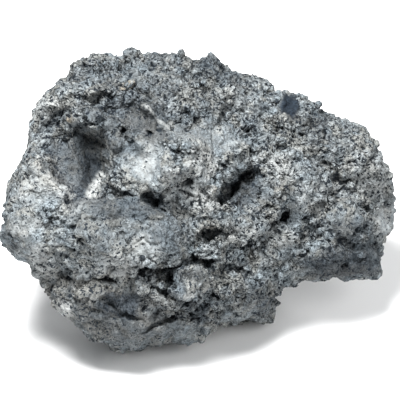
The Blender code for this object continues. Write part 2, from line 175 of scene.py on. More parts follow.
# Forms too small for the solid
SMALL_FORMS = {
    "cave_top": Form(-0.063, 0.0385, 0.0085, 0.003, 8, -0.006, 0.9),
    "dimple": Form(-0.013, 0.031, 0.0055, 0.006, 0, -0.004, 1.0),
    "notch": Form(-0.043, 0.0375, 0.0026, 0.004, 20, -0.005, 0.8),
    "rubble_left": Form(-0.073, 0.044, 0.0055, 0.004, 10, 0.006, 0.35),
    "rubble_high": Form(-0.062, 0.0485, 0.0045, 0.0042, 20, 0.006, 0.35),
    "rubble_middle": Form(-0.0615, 0.0395, 0.0045, 0.0036, -10, 0.007, 0.35),
    "rubble_right": Form(-0.0525, 0.0435, 0.0048, 0.0046, -15, 0.006, 0.35),
    "rubble_low": Form(-0.049, 0.034, 0.0048, 0.005, 0, 0.005, 0.35),
    "mouth_left": Form(-0.0475, 0.003, 0.0075, 0.0016, -4, -0.006, 0.8),
    "mouth_low": Form(-0.0235, -0.0062, 0.004, 0.0018, -15, -0.005, 0.8),
    "nick": Form(-0.0066, 0.0108, 0.0036, 0.0028, 0, -0.005, 0.8),
    "gash_wall": Form(0.026, 0.0055, 0.0125, 0.009, 50, -0.005, 1.0),
    "gash_top": Form(0.029, 0.013, 0.004, 0.0042, 0, -0.005, 0.8),
    "gash_foot": Form(0.012, 0.0, 0.006, 0.0026, 10, -0.006, 0.8),
    "slot": Form(0.004, -0.02, 0.005, 0.002, 5, -0.007, 0.7),
    "hole_foot": Form(0.045, -0.0155, 0.005, 0.003, 10, -0.008, 0.7),
    "small_hole": Form(0.029, -0.0285, 0.0026, 0.0034, 0, -0.008, 0.7),
    "far_hole": Form(0.07, -0.017, 0.0026, 0.0028, 0, -0.006, 0.8),
    "far_hole_low": Form(0.064, -0.0225, 0.004, 0.002, 0, -0.006, 0.8),
    "far_hole_high": Form(0.066, -0.011, 0.002, 0.0024, 0, -0.004, 0.8),
    "far_hole_right": Form(0.0795, -0.005, 0.003, 0.0022, 0, -0.004, 0.8),
    "far_boulder": Form(0.09, -0.01, 0.0105, 0.0115, 0, 0.004, 0.6),
    "high_hole": Form(0.0495, 0.0425, 0.0038, 0.0018, -20, -0.005, 0.7),
    "high_hole_left": Form(0.0425, 0.0475, 0.0045, 0.0014, -25, -0.004, 0.8),
    "right_hole": Form(0.0935, 0.029, 0.0022, 0.002, 0, -0.004, 0.8),
    "right_hole_low": Form(0.074, 0.0205, 0.0026, 0.0022, 20, -0.004, 0.8),
    "chip_foot": Form(0.047, 0.06, 0.0022, 0.0026, -30, -0.005, 0.8),
    "lower_fold": Form(-0.048, -0.065, 0.015, 0.0018, -28, -0.006, 0.8),
    "boulder_left": Form(-0.0185, -0.05, 0.002, 0.008, -15, -0.006, 0.8),
    "boulder_right": Form(0.0085, -0.053, 0.002, 0.0075, 25, -0.005, 0.9),
    "under_mass": Form(0.019, -0.041, 0.009, 0.0014, -20, -0.006, 0.8),
    "belly_crack": Form(-0.023, -0.0745, 0.0135, 0.0013, 26, -0.005, 0.8),
    "keel_crack": Form(-0.004, -0.07, 0.007, 0.0016, -28, -0.007, 0.8),
    "knuckle_left": Form(0.073, -0.01, 0.002, 0.008, 15, -0.005, 0.9),
    "knuckle_low": Form(0.086, -0.0265, 0.01, 0.0017, -8, -0.006, 0.8),
    "toe_gap": Form(0.09, -0.031, 0.0025, 0.0065, 30, -0.005, 0.8),
    "lobe_gap": Form(0.103, -0.004, 0.0022, 0.009, 20, -0.004, 0.9),
    "left_pit": Form(-0.105, 0.013, 0.0024, 0.0015, 0, -0.004, 0.8),
    "left_pit_low": Form(-0.0918, -0.005, 0.002, 0.0014, -25, -0.004, 0.8),
    "left_crease": Form(-0.08, -0.035, 0.0018, 0.012, 8, -0.004, 0.9),
}
FORM_WANDER = 0.0022  # how far a form's edge strays from its oval
FORM_WANDER_SIZE = 0.010
FORM_WANDER_SEED = 1

# Blocks: lava broken into pieces that stand higher and lower than each other, with gaps between them.
# size is of one piece, step how far one stands up or down, dome how far it bulges, and gap how deep the
# gaps are.
Blocks = namedtuple("Blocks", "size step dome gap seed")
BLOCKS = [
    Blocks(0.048, 0.0030, 0.0060, 0.0015, 10),
    Blocks(0.026, 0.0026, 0.0036, 0.0018, 11),
    Blocks(0.0115, 0.0015, 0.0020, 0.0012, 12),
]
GAP_SHARE = 0.25  # how wide a gap is, as a share of its blocks
BLOCK_SLOPE = 1.2  # how much a block may lean, for each step up or down
BLOCK_LEVEL = 0.3  # a dome has height 0 where the square of the way from its spot, in blocks, is this
BLOCK_WANDER = 0.35  # how far a block's edge strays, as a share of the block
BLOCK_WANDER_SIZE = 1.2  # the size of that straying, as a share of the block
BLOCK_WANDER_SEED = 50  # added to the blocks' own

RIM_REACH = 0.15  # how far round from the outline the blocks are lower, to keep to the outline
RIM_SHARE = 0.5  # how much lower

# The underside: worn feet, and shallow arches between them
ARCH_RISE = 0.004
ARCH_SIZE = 0.060
ARCH_EDGE = (-0.2, 0.5)  # the noise under which the stone stands on a foot, and over which it is arched
ARCH_SEED = 31

# Relief that only the skin has. Its knobs and its grit are blocks like those above, and smaller
KNOBS = Blocks(0.0100, 0.0019, 0.0027, 0.0022, 13)
GRIT = Blocks(0.0040, 0.0008, 0.0007, 0.0010, 14)
PATCH_SIZE = 0.022  # of the patches with higher and lower knobs
PATCH_RANGE = (0.45, 1.25)
PATCH_EDGE = 0.4  # the noise, up or down, at which a patch is whole
PATCH_SEED = 51
SMOOTHING = 0.85  # how much lower the knobs are where the lava has a smoother skin
CRAG_CALM = 0.65  # how much lower the crags are there
BUBBLE_CALM = 0.75  # how much shallower the bubbles are there
RIM_CALM = 0.6  # how much lower the knobs are round the outline
RIM_SINK = 0.0008  # how far the skin draws in at the outline, to make up for its knobs

# Crags: noise of about halving sizes, folded so that its middle values make ridges
CRAG_SIZES = (0.020, 0.010, 0.005, 0.0028)
CRAG_HEIGHT = 0.12  # of a crag, as a share of its size
CRAG_LEVEL = 0.4  # what the folded noise is taken from, so that the crags rise and fall alike
CRAG_SEED = 41

# Leans: smooth shifts any way, that tip knobs over each other
Lean = namedtuple("Lean", "size reach seed")
LEANS = [Lean(0.014, 0.0020, 71), Lean(0.0065, 0.0011, 75)]

# Bubbles that the surface cuts open: one may lie in each cell of a lattice
Bubbles = namedtuple("Bubbles", "cell least most share seed")
BUBBLES = [
    Bubbles(0.0180, 0.0026, 0.0042, 0.35, 21),
    Bubbles(0.0110, 0.0014, 0.0026, 0.55, 22),
    Bubbles(0.0055, 0.0009, 0.0017, 0.65, 23),
]
BUBBLE_SQUASH = 0.35  # how far a bubble strays from round, as a share of the largest radius
BUBBLE_SQUASH_SIZE = 0.5  # the size of that straying, as a share of the cell
BUBBLE_SQUASH_SEED = 5  # added to the bubbles' own

FRONT_BIAS = 0.38  # how much closer together the skin's points are on the best side than behind it
EVEN_ROUNDS = 12  # rounds that move the skin's points from where they are dense to where they are sparse
EVEN_PACE = 0.6  # how far a round moves a point, as a share of the way
SUNK_ROUNDS = 6  # rounds of averaging that tell how sunk a point is

# Lumps and grains, half sunk into the skin. Each piece has its own count of them.
Grains = namedtuple("Grains", "name count rings sides least most front seed")
GRAINS = [
    Grains("knobs", 3600, 3, 6, 0.0015, 0.0028, 0.60, 81),
    Grains("lumps", 9900, 2, 5, 0.0008, 0.0016, 0.65, 82),
    Grains("grains", 16500, 2, 3, 0.0005, 0.0010, 0.75, 83),
]
GRAIN_JITTER = 0.28  # how far a grain's corners move in and out, as a share of its radius
GRAIN_STRETCH = (0.65, 1.35)
GRAIN_SINK = (0.50, 0.95)  # how deep a grain's middle lies, as a share of its radius
GRAIN_RIM = 0.35  # how much deeper a grain lies at the outline
GRAIN_RIM_REACH = 0.35  # how far from side on the skin may face there
GRAIN_FRONT = 0.3  # how far from side on the skin faces where it counts as wholly front or back

# Marks on the stone, as ovals like the forms', with how strong each is
Mark = namedtuple("Mark", "across up half_width half_height turn strength")
# Pale marks: the white crust on and round the lobe is the lava's own; others are painted light, lifting parts
# that lie in shade, such as under the lower lobe, in the middle and at the right end.
CRUST_AND_LIGHT = [
    Mark(-0.034, 0.02, 0.011, 0.0075, -10, 0.42),
    Mark(-0.028, 0.033, 0.007, 0.0055, 20, 0.15),
    Mark(-0.098, 0.008, 0.014, 0.011, 20, 0.35),
    Mark(-0.062, 0.009, 0.004, 0.0095, -35, 1.0),
    Mark(-0.081, 0.005, 0.006, 0.0045, 0, 0.7),
    Mark(-0.101, -0.016, 0.009, 0.006, 0, 0.35),
    Mark(-0.034, -0.029, 0.011, 0.009, 0, 0.45),
    Mark(-0.08, -0.064, 0.007, 0.006, 0, 0.7),
    Mark(-0.09, 0.053, 0.011, 0.007, 30, 0.7),
    Mark(-0.0925, -0.037, 0.008, 0.012, 0, 0.6),
    Mark(0.008, 0.037, 0.024, 0.0055, -4, 0.12),
    Mark(-0.0235, 0.0465, 0.0145, 0.001, -40, 0.5),
    Mark(-0.007, -0.054, 0.003, 0.003, 0, 0.7),
    Mark(-0.073, -0.004, 0.016, 0.004, 20, 0.3),
    Mark(-0.024, 0.085, 0.008, 0.002, 0, 0.4),
    Mark(-0.01, 0.012, 0.014, 0.01, 0, 0.45),
    Mark(0.101, 0.014, 0.02, 0.014, 0, 0.5),
    Mark(-0.012, 0.001, 0.01, 0.006, 0, 0.35),
    Mark(0.033, 0.026, 0.01, 0.008, 0, 0.25),
    Mark(0.019, 0.061, 0.006, 0.01, -40, 0.35),
    Mark(-0.046, -0.04, 0.015, 0.007, 0, 0.55),
    Mark(0.001, 0.0, 0.011, 0.008, -10, 0.85),
    Mark(0.001, 0.021, 0.011, 0.009, 0, 0.8),
    Mark(0.048, 0.02, 0.013, 0.009, 0, 0.8),
    Mark(0.025, -0.022, 0.012, 0.008, 0, 0.6),
    Mark(0.048, -0.023, 0.011, 0.007, 0, 0.5),
    Mark(0.072, 0.001, 0.012, 0.009, 0, 0.4),
    Mark(0.113, -0.004, 0.01, 0.022, 0, 0.5),
]
# Dark marks: the dense chip is the lava's own dark; most others are painted shade, in the big hollow, the
# gash, under the toe, heel and lobes and over the belly; some also darken the top.
DARK_CHIPS_AND_SHADE = [
    Mark(0.053, 0.057, 0.009, 0.005, -47, 1.0),
    Mark(0.068, 0.047, 0.008, 0.006, 0, 0.5),
    Mark(-0.07, 0.025, 0.015, 0.015, -8, 0.55),
    Mark(-0.065, 0.016, 0.0105, 0.0135, -4, 0.8),
    Mark(-0.086, 0.044, 0.009, 0.006, 20, 0.35),
    Mark(-0.033, 0.048, 0.019, 0.014, -30, 0.62),
    Mark(-0.03, 0.08, 0.05, 0.012, 5, 0.28),
    Mark(0.013, 0.078, 0.018, 0.009, -30, 0.55),
    Mark(0.0, 0.064, 0.03, 0.012, -10, 0.2),
    Mark(0.035, 0.054, 0.006, 0.006, 0, 0.4),
    Mark(0.087, -0.039, 0.028, 0.011, 4, 0.78),
    Mark(0.096, -0.034, 0.018, 0.016, 0, 0.6),
    Mark(0.028, -0.062, 0.022, 0.014, 10, 0.35),
    Mark(0.04, -0.065, 0.008, 0.008, 0, 0.6),
    Mark(-0.003, -0.067, 0.01, 0.008, -20, 0.45),
    Mark(0.025, 0.007, 0.014, 0.01, 50, 0.62),
    Mark(0.027, 0.012, 0.011, 0.011, 30, 0.35),
    Mark(-0.056, -0.06, 0.016, 0.006, -25, 0.4),
    Mark(-0.055, -0.074, 0.05, 0.018, -10, 0.52),
    Mark(-0.06, -0.054, 0.012, 0.008, 0, 0.3),
    Mark(-0.018, -0.049, 0.005, 0.008, 0, 0.35),
    Mark(-0.075, -0.05, 0.016, 0.012, -10, 0.25),
    Mark(0.03, -0.006, 0.03, 0.01, 20, 0.15),
    Mark(-0.045, 0.04, 0.01, 0.016, 0, 0.5),
    Mark(-0.053, 0.054, 0.017, 0.0055, 18, 0.55),
    Mark(-0.057, 0.052, 0.014, 0.009, 10, 0.45),
    Mark(-0.076, 0.014, 0.007, 0.012, 10, 0.55),
    Mark(-0.04, -0.005, 0.026, 0.008, 0, 0.6),
    Mark(-0.018, -0.018, 0.011, 0.012, 0, 0.5),
    Mark(-0.012, -0.052, 0.006, 0.012, 0, 0.5),
    Mark(-0.003, -0.042, 0.01, 0.004, 0, 0.55),
    Mark(-0.07, 0.076, 0.014, 0.009, 10, 0.35),
    Mark(0.006, 0.084, 0.008, 0.006, 0, 0.5),
    Mark(0.074, 0.05, 0.008, 0.008, 0, 0.4),
    Mark(-0.012, -0.079, 0.016, 0.007, 5, 0.4),
    Mark(0.093, -0.02, 0.013, 0.01, 0, 0.55),
    Mark(-0.057, -0.024, 0.007, 0.007, 0, 0.35),
    Mark(0.066, -0.006, 0.02, 0.016, 0, 0.1),
    Mark(-0.008, 0.044, 0.015, 0.01, 0, 0.42),
    Mark(0.074, 0.036, 0.008, 0.02, 0, 0.25),
    Mark(-0.079, 0.022, 0.011, 0.016, -8, 0.6),
    Mark(-0.069, 0.002, 0.016, 0.008, 0, 0.8),
    Mark(-0.024, 0.063, 0.014, 0.009, 0, 0.42),
    Mark(-0.113, -0.022, 0.009, 0.013, 0, 0.35),
    Mark(-0.048, -0.063, 0.015, 0.01, -15, 0.85),
    Mark(-0.048, 0.065, 0.012, 0.008, 10, 0.4),
    Mark(0.024, 0.043, 0.012, 0.008, -10, 0.3),
    Mark(0.006, 0.048, 0.008, 0.005, 0, 0.35),
    Mark(0.008, 0.036, 0.026, 0.008, -4, 0.12),
    Mark(-0.044, -0.015, 0.034, 0.018, -10, 0.25),
]
OCHRE = [
    Mark(-0.074, 0.046, 0.003, 0.0025, 0, 0.9),
    Mark(-0.042, 0.07, 0.0035, 0.0025, 0, 0.7),
    Mark(-0.087, 0.016, 0.008, 0.01, 0, 0.35),
    Mark(-0.052, -0.055, 0.006, 0.003, -20, 0.4),
    Mark(0.006, 0.006, 0.003, 0.003, 0, 0.6),
    Mark(0.05, 0.008, 0.01, 0.006, 30, 0.3),
    Mark(0.085, -0.043, 0.02, 0.005, 0, 0.4),
    Mark(0.003, -0.017, 0.008, 0.005, 0, 0.3),
    Mark(-0.031, 0.046, 0.014, 0.01, -30, 0.25),
    Mark(-0.055, -0.066, 0.045, 0.022, -10, 0.22),
]
# Where the lava has a smoother skin, with fewer knobs and pits
SMOOTH = [
    Mark(-0.031, 0.023, 0.018, 0.015, 8, 0.95),
    Mark(0.006, 0.036, 0.026, 0.008, -4, 0.85),
    Mark(-0.031, 0.045, 0.012, 0.009, -30, 0.8),
    Mark(-0.048, -0.015, 0.034, 0.02, -10, 0.75),
    Mark(-0.106, -0.019, 0.013, 0.016, 0, 0.8),
    Mark(-0.05, -0.076, 0.045, 0.014, -12, 0.8),
    Mark(-0.056, -0.048, 0.03, 0.016, -10, 0.5),
    Mark(-0.086, -0.034, 0.012, 0.022, 10, 0.5),
    Mark(-0.004, -0.049, 0.012, 0.011, 0, 0.6),
    Mark(-0.01, -0.08, 0.017, 0.008, 5, 0.75),
    Mark(-0.067, 0.022, 0.015, 0.017, -8, 0.95),
    Mark(0.053, 0.057, 0.01, 0.006, -47, 1.0),
    Mark(0.03, 0.005, 0.012, 0.01, 30, 0.6),
    Mark(0.112, -0.013, 0.009, 0.01, 0, 0.7),
    Mark(0.098, -0.037, 0.015, 0.011, 0, 0.6),
    Mark(0.075, -0.044, 0.024, 0.007, 4, 0.5),
    Mark(0.028, -0.068, 0.02, 0.008, 8, 0.6),
    Mark(0.088, -0.012, 0.012, 0.011, 0, 0.7),
    Mark(-0.096, 0.006, 0.018, 0.015, 20, 0.5),
    Mark(-0.073, 0.044, 0.005, 0.0036, 10, 0.8),
    Mark(-0.062, 0.0485, 0.0042, 0.0038, 20, 0.8),
    Mark(-0.0615, 0.0395, 0.0042, 0.0034, -10, 0.8),
    Mark(-0.0525, 0.0435, 0.0045, 0.0042, -15, 0.8),
    Mark(-0.049, 0.034, 0.0045, 0.0046, 0, 0.8),
]

MARK_WANDERS = [(0.008, 0.0026, 61), (0.003, 0.0014, 64)]  # shifts of a mark's edge, as (size, reach, seed)
THIN_MARK = 0.004  # a mark less than this half height strays less
MARK_RIM = (1.25, 0.60)  # where a mark begins and where it is whole, as shares of the way to its rim
MARKS = {"crust_and_light": CRUST_AND_LIGHT, "dark": DARK_CHIPS_AND_SHADE, "ochre": OCHRE, "smooth": SMOOTH}

# The material's patterns: packed grains of three sizes, and noises
GRAINS_PER_METRE = {"specks": 1250.0, "fine": 560.0, "coarse": 290.0}
Waves = namedtuple("Waves", "per_metre detail roughness")
WAVES = {
    "mottle": Waves(120.0, 8.0, 0.65),
    "broad": Waves(22.0, 3.0, 0.5),
    "ragged": Waves(430.0, 2.0, 0.6),
}
PATCH_WAVES = Waves(110.0, 1.5, 0.5)
SWIRL_WAVES = Waves(400.0, 3.0, 0.5)
SWIRL_REACH = 0.0030  # how far the grains' edges are shifted
NOISE_MIDDLE = (0.5, 0.5, 0.5)  # the mean of a noise's three values

# Ramps: start where a pattern is at low, and end where it is at high
Ramp = namedtuple("Ramp", "low high start end", defaults=(0.0, 1.0))
DOME = Ramp(0.75, 0.0)  # of a grain, by the distance from its spot
HOLE = Ramp(0.37, 0.30)  # in a grain, by that distance
HOLLOW_GRAINS = Ramp(0.60, 0.64)  # which of the grains have a hole, by a random number of theirs
TONES = {  # factors of how light the lava is
    "specks": Ramp(0.05, 0.60, 0.54, 1.17),
    "fine": Ramp(0.0, 1.0, 0.82, 1.18),
    "mottle": Ramp(0.3, 0.7, 0.80, 1.20),
    "tone": Ramp(0.0, 1.0, 0.80, 1.20),
    "smooth": Ramp(0.0, 0.9, 1.0, 0.72),
}
# The pits are painted shade: dark where small holes and ledges would hold shade
RAGGED_PITS = Ramp(0.42, 0.38)  # by the ragged noise
FEWER_PITS = Ramp(0.35, 0.65, 0.025, -0.025)  # added to that noise, by the broad noise
SMOOTH_PITS = 0.04  # added to that noise where the skin is smooth
ROUGH_PITS = Ramp(0.1, 0.5, 1.0, 0.0)  # how strong the coarse pits are, by how smooth the skin is
COARSE_PITS = Ramp(0.60, 0.50)  # by the patches
FINE_PITS = Ramp(0.44, 0.56)
PIT_SHARE = 0.95  # how much of the pits' painted shade a small pit shows
SUNK_SHARE = Ramp(0.0001, 0.0012, 0.0, 0.92)  # how much of the pits' painted shade the skin's own hollows show, by their depth
BROAD_SHARE = 0.5  # of the broad noise, in the noise that places the cool and warm patches
COOL_PATCHES = Ramp(0.75, 0.60)
WARM_PATCHES = Ramp(0.76, 0.90)
OCHRE_MOTTLE = Ramp(0.34, 0.60, 0.3, 1.0)  # how strong an ochre mark is, by the mottling
CRUST_AND_LIGHT_MOTTLE = Ramp(0.32, 0.56, 0.35, 1.0)

LAVA_ROUGHNESS = 0.9
LAVA_GLOSS = 0.1  # its specular level

# Bumps, with heights in BUMP_UNIT
BUMP_UNIT = 0.0014
GRAIN_BUMPS = {
    ("coarse", "Dome"): 1.3,
    ("coarse", "Pit"): -1.0,
    ("fine", "Dome"): 0.9,
    ("specks", "Dome"): 0.2,
}
NOISE_BUMPS = {"mottle": 1.6, "ragged": 2.5}
BUMP_STRENGTH = Ramp(0.0, 0.9, 1.0, 0.4)  # by how smooth the skin is

# The stage
FLOOR_SIZE = 6.0
FLOOR_ROUGHNESS = 0.9
SOFT_COLOUR = (0.93, 0.97, 1.0)
KEY_SIZE = 0.35
KEY_PLACE = (-0.18, -0.38, 0.98)
FILL_SIZE = 0.80
FILL_PLACE = (0.80, -0.60, 0.55)
BACK_LIGHT_SIZE = 0.80
BACK_LIGHT_PLACE = (0.25, 1.30, 0.45)
SENSOR_WIDTH = 36  # of the camera, in millimetres

LINE_OF_SIGHT = np.array((0, -np.cos(SHOW_TILT), np.sin(SHOW_TILT)))  # from the stone to its viewer

# How a lattice point and a seed become random numbers: factors that spread them over 32 bits, and shifts
# and factors that scramble those bits
POINT_FACTORS = (73856093, 19349663, 83492791)
SEED_FACTOR = 40503
SEED_START = 977
SCRAMBLES = [(15, 2246822519), (13, 3266489917)]
LAST_SHIFT = 16
CELL_SEED = 100  # added to a lattice's seed for the numbers that its cells have besides their spots
NOISE_GAIN = 1.3  # brings the soft noise to about -1 to 1


def lattice_random(cells, seed):
    """Three numbers from 0 to 1 for each lattice point, the same on every run: its coordinates are
    multiplied, mixed with the seed, and scrambled by shifts and products."""
    mixed = np.full(cells.shape[:-1], seed * SEED_FACTOR + SEED_START, np.uint32)
    for axis, factor in enumerate(POINT_FACTORS):
        mixed ^= cells[..., axis].astype(np.uint32) * np.uint32(factor)
    numbers = []
    for _ in range(3):
        for shift, factor in SCRAMBLES:
            mixed = (mixed ^ (mixed >> shift)) * np.uint32(factor)
        mixed = mixed ^ (mixed >> LAST_SHIFT)
        numbers.append(mixed / 2.0**32)
    return np.stack(numbers, axis=-1)


def soft_noise(points, size, seed):
    """Smooth noise, about -1 to 1: random slopes at the corners of a lattice of that size, faded together
    by six times the fifth power of the way between them, less 15 times the fourth, plus ten times the
    third."""
    scaled = points / size
    cells = np.floor(scaled).astype(np.int64)
    inside = scaled - cells
    fade = inside**3 * (inside * (inside * 6 - 15) + 10)
    total = np.zeros(len(points))
    for corner in itertools.product((0, 1), repeat=3):
        slopes = 2 * lattice_random(cells + corner, seed) - 1
        share = np.prod(np.where(corner, fade, 1 - fade), axis=1)
        total += share * np.sum(slopes * (inside - corner), axis=1)
    return total * NOISE_GAIN


def unit(vectors):
    """The vectors with length 1."""
    return vectors / np.linalg.norm(vectors, axis=-1, keepdims=True)


def smooth_step(low, high, values):
    """0 at low or beyond it, 1 at high or beyond it, and between them the S-curve of three times the
    square of the way, less twice its cube. low may be more than high."""
    share = np.clip((values - low) / (high - low), 0, 1)
    return share * share * (3 - 2 * share)


def between(ends, share):
    """The value at that share of the way between two ends."""
    return ends[0] + (ends[1] - ends[0]) * share


def outline_radius(angles, waves=None):
    """Distance from the middle to the outline at each angle, by straight runs between its corners. With
    waves, only so many of its slowest waves are kept."""
    corners = np.array(OUTLINE)
    turns = np.arctan2(corners[:, 1], corners[:, 0])
    reach = np.hypot(corners[:, 0], corners[:, 1])
    if waves is None:
        return np.interp(angles, turns, reach, period=2 * np.pi)
    even = np.linspace(-np.pi, np.pi, OUTLINE_STEPS, endpoint=False)
    spectrum = np.fft.rfft(np.interp(even, turns, reach, period=2 * np.pi))
    spectrum[waves + 1 :] = 0
    return np.interp(angles, even, np.fft.irfft(spectrum, len(even)), period=2 * np.pi)


def round_form(directions):
    """The stone before anything is broken off or raised. In the slice through the line of sight at each
    angle it is a squared ellipse, as wide as the outline there and as deep as the front or the back."""
    angles = np.arctan2(directions[:, 1], directions[:, 0])
    sideways = np.hypot(directions[:, 0], directions[:, 1])
    ahead = directions[:, 2]
    rim = np.exp(-((ahead / OUTLINE_REACH) ** 2))
    smooth = outline_radius(angles, OUTLINE_WAVES)
    width = smooth + (outline_radius(angles) - smooth) * rim
    depth = np.where(ahead > 0, FRONT_DEPTH, BACK_DEPTH)
    radius = ((sideways / width) ** SQUARENESS + (np.abs(ahead) / depth) ** SQUARENESS) ** (-1 / SQUARENESS)
    seen = directions * radius[:, None]
    seen[:, 2] -= SKEW * seen[:, 0]
    return seen


def stray(points, size, seed):
    """Three smooth noises side by side, as a shift of about one unit in any direction."""
    return np.stack([soft_noise(points, size, seed + axis) for axis in range(3)], axis=-1)


def oval_reach(seen, oval, wander):
    """How far each point lies from an oval's middle, as a share of the way to its rim, on a plane that
    faces the viewer. wander shifts the points first, so that the rim isn't a plain oval."""
    across = seen[:, 0] + wander[:, 0] - oval.across
    up = seen[:, 1] + wander[:, 1] - oval.up
    turn = np.radians(oval.turn)
    along = (across * np.cos(turn) + up * np.sin(turn)) / oval.half_width
    aside = (up * np.cos(turn) - across * np.sin(turn)) / oval.half_height
    return np.hypot(along, aside)


def form_relief(seen):
    """How far the named forms stand out towards the viewer: for each, full height inside its oval and an
    S-curve down to nothing at its rim."""
    wander = stray(seen, FORM_WANDER_SIZE, FORM_WANDER_SEED) * FORM_WANDER
    relief = np.zeros(len(seen))
    for form in (FORMS | SMALL_FORMS).values():
        reach = oval_reach(seen, form, wander)
        relief += form.rise * smooth_step(1 + form.edge / 2, 1 - form.edge / 2, reach)
    return relief


def mark_share(seen, marks):
    """How strong the marks are at each point: the strongest of those there, with a soft and ragged rim."""
    wander = sum(stray(seen, size, seed) * reach for size, reach, seed in MARK_WANDERS)
    share = np.zeros(len(seen))
    for mark in marks:
        reach = oval_reach(seen, mark, wander * min(1, mark.half_height / THIN_MARK))
        share = np.maximum(share, mark.strength * smooth_step(*MARK_RIM, reach))
    return share


def stand_up(seen):
    """Turns (across, up, towards the viewer) by SHOW_TILT, into the stone's own x, y and z."""
    across, up, near = seen.T
    back = up * np.sin(SHOW_TILT) - near * np.cos(SHOW_TILT)
    height = up * np.cos(SHOW_TILT) + near * np.sin(SHOW_TILT)
    return np.stack([across, back, height], axis=-1)


def break_off(points, share):
    """Draws what lies beyond each break in towards the middle, as far as the break, with a soft edge."""
    for plane in BREAKS:
        beyond = points @ unit(np.array(plane.facing)) / plane.distance
        drawn_in = (1 + np.maximum(beyond, 0) ** BREAK_SOFTNESS) ** (-1 / BREAK_SOFTNESS)
        points = points * (1 + (drawn_in - 1) * share)[:, None]
    return points


def neighbours(points, size, seed):
    """For each of the 27 lattice cells round every point: the way from the point to the cell's own random
    spot, in metres, and three random numbers of that cell."""
    cells = np.floor(points / size).astype(np.int64)
    for step in itertools.product((-1, 0, 1), repeat=3):
        spot = lattice_random(cells + step, seed)
        yield (cells + step + spot) * size - points, lattice_random(cells + step, seed + CELL_SEED)


def block_relief(points, blocks):
    """Height over the surface. A block is the space nearest to one random spot. It has a dome over the
    spot, and a step up or down and a slope of its own, and it drops away in a gap where the next block
    is almost as near."""
    wander = stray(points, blocks.size * BLOCK_WANDER_SIZE, blocks.seed + BLOCK_WANDER_SEED)
    points = points + wander * blocks.size * BLOCK_WANDER
    nearest = np.full(len(points), np.inf)
    second = np.full(len(points), np.inf)
    way_to = np.zeros_like(points)
    own = np.zeros_like(points)
    for way, numbers in neighbours(points, blocks.size, blocks.seed):
        far = np.linalg.norm(way, axis=1) / blocks.size
        closer = far < nearest
        second = np.where(closer, nearest, np.minimum(second, far))
        nearest = np.where(closer, far, nearest)
        way_to = np.where(closer[:, None], way, way_to)
        own = np.where(closer[:, None], numbers, own)
    slope = np.sum(way_to * (2 * own[:, [1, 2, 0]] - 1), axis=1) / blocks.size
    height = blocks.step * (2 * own[:, 0] - 1 + BLOCK_SLOPE * slope)
    height += blocks.dome * (BLOCK_LEVEL - nearest**2)
    return (height + blocks.gap) * smooth_step(0, GAP_SHARE, second - nearest) - blocks.gap


def crag_relief(points):
    """Sum, over the crags' sizes, of noise folded about zero: CRAG_LEVEL less twice the noise without its
    sign, times the crag's height. Where the noise crosses zero it makes a ridge."""
    total = np.zeros(len(points))
    for order, size in enumerate(CRAG_SIZES):
        noise = soft_noise(points, size, CRAG_SEED + order)
        total += size * CRAG_HEIGHT * (CRAG_LEVEL - np.abs(noise) * 2)
    return total


def bubble_depth(points, outwards, bubbles):
    """How far each point goes in, against the way that the skin faces, to reach the wall of the bubble
    that it lies in, and 0 outside them. A bubble is a ball round its cell's spot."""
    wander = stray(points, bubbles.cell * BUBBLE_SQUASH_SIZE, bubbles.seed + BUBBLE_SQUASH_SEED)
    points = points + wander * bubbles.most * BUBBLE_SQUASH
    deepest = np.zeros(len(points))
    for way, numbers in neighbours(points, bubbles.cell, bubbles.seed):
        radius = between((bubbles.least, bubbles.most), numbers[:, 0])
        radius = np.where(numbers[:, 1] < bubbles.share, radius, 0)
        inwards = -np.sum(way * outwards, axis=1)
        left = radius**2 - np.sum(way * way, axis=1)
        depth = inwards + np.sqrt(inwards**2 + np.maximum(left, 0))
        deepest = np.maximum(deepest, np.where(left > 0, depth, 0))
    return deepest


def rest_on_floor(points):
    """Arches the underside a little, then cuts the feet flat where they would go through the floor."""
    arch = ARCH_RISE * smooth_step(*ARCH_EDGE, soft_noise(points, ARCH_SIZE, ARCH_SEED))
    drop = FLOOR_DROP - arch
    beyond = np.maximum(-points[:, 2] / drop, 0)
    return points / np.maximum(beyond, 1)[:, None]


def cube_skin(faces):
    """A cube of faces x faces quads a side, as directions from its middle that turn by even angles along
    each side, and its quads. The two parameters are the steps along a side."""
    steps = np.arange(faces + 1)
    along, aside = np.meshgrid(steps, steps, indexing="ij")
    number = np.arange((faces + 1) ** 2).reshape(faces + 1, faces + 1)
    ring = np.stack([number[:-1, :-1], number[1:, :-1], number[1:, 1:], number[:-1, 1:]], axis=-1)
    ring = ring.reshape(-1, 4)
    sides = []
    quads = []
    for axis, end in itertools.product(range(3), (0, faces)):
        side = np.empty((faces + 1, faces + 1, 3), int)
        side[..., axis] = end
        side[..., (axis + 1) % 3] = along
        side[..., (axis + 2) % 3] = aside
        quads.append((ring if end else ring[:, ::-1]) + len(sides) * number.size)
        sides.append(side.reshape(-1, 3))
    lattice, place = np.unique(np.concatenate(sides), axis=0, return_inverse=True)
    directions = unit(np.tan((2 * lattice / faces - 1) * np.pi / 4))
    return directions, place.reshape(-1)[np.concatenate(quads)]


def quad_normals(points, quads):
    """The way that the surface faces at each point: its quads' own, as long as they are large, added up."""
    corners = points[quads]
    faces = np.cross(corners[:, 2] - corners[:, 0], corners[:, 3] - corners[:, 1])
    normals = np.zeros_like(points)
    for axis in range(3):
        weights = np.repeat(faces[:, axis], 4)
        normals[:, axis] = np.bincount(quads.ravel(), weights, len(points))
    return unit(normals)


def neighbour_mean(values, quads, rounds):
    """Each point's value averaged with those of the points beside it, over and over."""
    corners = quads.ravel()
    beside = quads[:, [1, 2, 3, 0]].ravel()
    count = np.bincount(corners, minlength=len(values)) + np.bincount(beside, minlength=len(values))
    for _ in range(rounds):
        onward = np.bincount(corners, values[beside], len(values))
        backward = np.bincount(beside, values[corners], len(values))
        values = (values + (onward + backward) / count) / 2
    return values


